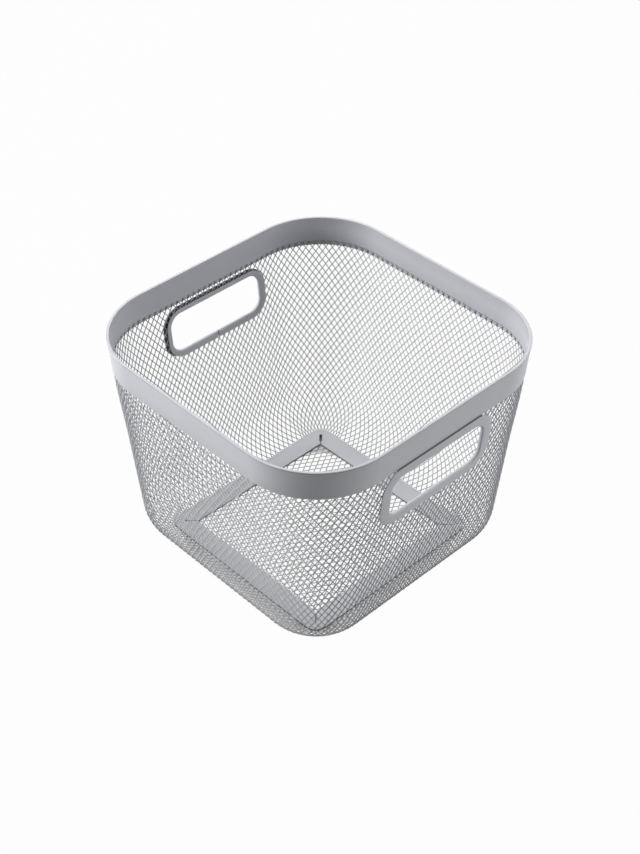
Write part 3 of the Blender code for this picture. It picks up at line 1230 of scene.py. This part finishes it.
@dataclass(frozen=True)
class ViewPoint:
    """The camera, from a perspective fit to the photo.

    The azimuth is the way that the picture's right side points, and the elevation how far the camera
    looks down, both in degrees, as the roll is. The focal length and the frame's height are in pixels.
    """

    place: tuple[float, float, float] = (0.6416, -0.6204, 0.8540)
    azimuth: float = 45.90
    elevation: float = 40.14
    roll: float = 0.23
    focal_px: float = 1565.8
    frame_px: float = 854.0
    sensor: float = 36.0
    sight: float = 20.0

    def build(self) -> None:
        """Makes the camera and sets it as the scene's."""
        back = heading(self.azimuth - 90.0, self.elevation)
        right = heading(self.azimuth, 0.0)
        up, roll = back.cross(right), math.radians(self.roll)
        turned_right = right * math.cos(roll) + up * math.sin(roll)
        turned_up = up * math.cos(roll) - right * math.sin(roll)
        lens = bpy.data.cameras.new("view")
        lens.sensor_width = self.sensor
        lens.lens = self.focal_px * self.sensor / self.frame_px
        lens.clip_end = self.sight
        camera = bpy.data.objects.new("view", lens)
        bpy.context.scene.collection.objects.link(camera)
        turn = Matrix((turned_right, turned_up, back)).transposed().to_4x4()
        camera.matrix_world = Matrix.Translation(self.place) @ turn
        bpy.context.scene.camera = camera


@dataclass
class Studio:
    """A plain pale floor, soft lamps and an even surround, which looks white from the camera.

    The bend's contact shadow on the floor is a ring of rounded squares. The reach gives the distances
    from the ring's core at which it begins, is full, starts to fade and ends.
    """

    core: float
    floor_side: float = 12.0
    floor_drop: float = 0.0002
    floor_shade: float = 0.20
    surround: float = 0.02
    shadow_share: float = 0.02
    contact_share: float = 0.50
    contact_middle: tuple[float, float, float] = (0.006, -0.006, 0.0)
    contact_inset: float = 0.0133
    contact_reach: Corners = (0.0245, 0.0260, 0.0338, 0.0358)
    lamps: tuple[SoftLamp, ...] = (
        SoftLamp("left_lamp_high", azimuth=224.0, elevation=40.0, power=27.5),
        SoftLamp("left_lamp_low", azimuth=225.0, elevation=12.0, power=23.5),
        SoftLamp("right_lamp_low", azimuth=36.0, elevation=12.0, power=24.0),
        SoftLamp("front_lamp_low", azimuth=270.0, elevation=12.0, power=5.0),
        SoftLamp("back_lamp", azimuth=132.0, elevation=40.0, power=22.5),
    )

    def build(self) -> None:
        """Builds the floor, the lamps and the surround."""
        self.build_floor()
        self.build_world()
        for lamp in self.lamps:
            lamp.build()

    @staticmethod
    def seen_directly(tree: bpy.types.NodeTree) -> bpy.types.NodeSocket:
        """Adds a value that is 1 for camera, glossy and transmission rays, and 0 for the rest.

        Args:
            tree: The tree that it is added to.

        Returns:
            The socket with the value.
        """
        rays = tree.nodes.new("ShaderNodeLightPath")
        socket = rays.outputs["Is Camera Ray"]
        for name in ("Is Glossy Ray", "Is Transmission Ray"):
            socket = combine(tree, "MAXIMUM", socket, rays.outputs[name])
        return socket

    def build_floor(self) -> None:
        """Lays the floor just under the basket's lowest strands."""
        shape = bmesh.new()
        bmesh.ops.create_grid(shape, x_segments=1, y_segments=1, size=self.floor_side / 2)
        bmesh.ops.translate(shape, verts=shape.verts, vec=(0.0, 0.0, -self.floor_drop))
        floor = make_object("floor", shape)
        material = bpy.data.materials.new("pale_floor")
        material.use_nodes = True
        tree = material.node_tree
        nodes, links = tree.nodes, tree.links
        nodes.remove(nodes["Principled BSDF"])
        matt = nodes.new("ShaderNodeBsdfDiffuse")
        matt.inputs["Color"].default_value = (self.floor_shade,) * 3 + (1.0,)
        white = nodes.new("ShaderNodeEmission")
        share = combine(tree, "MULTIPLY", self.seen_directly(tree), self.whiteness(tree))
        mix = nodes.new("ShaderNodeMixShader")
        links.new(share, mix.inputs["Fac"])
        links.new(matt.outputs["BSDF"], mix.inputs[1])
        links.new(white.outputs["Emission"], mix.inputs[2])
        links.new(mix.outputs["Shader"], nodes["Material Output"].inputs["Surface"])
        floor.data.materials.append(material)

    def whiteness(self, tree: bpy.types.NodeTree) -> bpy.types.NodeSocket:
        """Adds how white the floor looks from the camera, less so where the bend almost touches it.

        Args:
            tree: The floor's tree.

        Returns:
            The socket with the share.
        """
        steps = (
            ("SUBTRACT", self.contact_middle),
            ("ABSOLUTE", None),
            ("SUBTRACT", self.core - self.contact_inset),
            ("MAXIMUM", 0.0),
            ("MULTIPLY", (1.0, 1.0, 0.0)),
        )
        socket = tree.nodes.new("ShaderNodeTexCoord").outputs["Object"]
        for operation, value in steps:
            step = tree.nodes.new("ShaderNodeVectorMath")
            step.operation = operation
            tree.links.new(socket, step.inputs[0])
            if value is not None:
                step.inputs[1].default_value = value if isinstance(value, tuple) else (value,) * 3
            socket = step.outputs["Vector"]
        length = tree.nodes.new("ShaderNodeVectorMath")
        length.operation = "LENGTH"
        tree.links.new(socket, length.inputs[0])
        start, full, fading, end = self.contact_reach
        rise = ramp(tree, length.outputs["Value"], span=(start, full))
        fall = ramp(tree, length.outputs["Value"], span=(end, fading))
        both = combine(tree, "MULTIPLY", rise, fall)
        return ramp(tree, both, levels=(1 - self.shadow_share, 1 - self.contact_share))

    def build_world(self) -> None:
        """Makes the even surround."""
        world = bpy.data.worlds.new("surround")
        bpy.context.scene.world = world
        world.use_nodes = True
        tree = world.node_tree
        sky = tree.nodes["Background"]
        sky.inputs["Color"].default_value = (1.0, 1.0, 1.0, 1.0)
        level = ramp(tree, self.seen_directly(tree), levels=(self.surround, 1.0))
        tree.links.new(level, sky.inputs["Strength"])


def report(piece: bpy.types.Object) -> None:
    """Logs a finished piece with its count of faces."""
    LOG.info("%s: %d faces", piece.name, len(piece.data.polygons))


def main() -> None:
    """Builds the basket's pieces, the studio and the camera."""
    logging.basicConfig(level=logging.INFO, format="%(name)s: %(message)s")
    bpy.context.scene.view_settings.view_transform = "Standard"
    form = Form()
    # The mesh's coat is the sheet's coat made darker: painted shade on the thin strands
    mesh_coat = PowderCoat("powder_coat_on_mesh", colour=(0.37, 0.38, 0.40))
    sheet_coat = PowderCoat("powder_coat_on_sheet")
    holes = [HandHole(form, side) for side in Side]
    report(RimBand(form).build(sheet_coat))
    for hole in holes:
        report(hole.build(sheet_coat))
    report(WallMesh(form).build(mesh_coat, holes))
    report(BaseMesh(form).build(mesh_coat))
    report(BaseFrame(form).build(sheet_coat))
    Studio(form.core).build()
    ViewPoint().build()


if __name__ == "__main__":
    main()
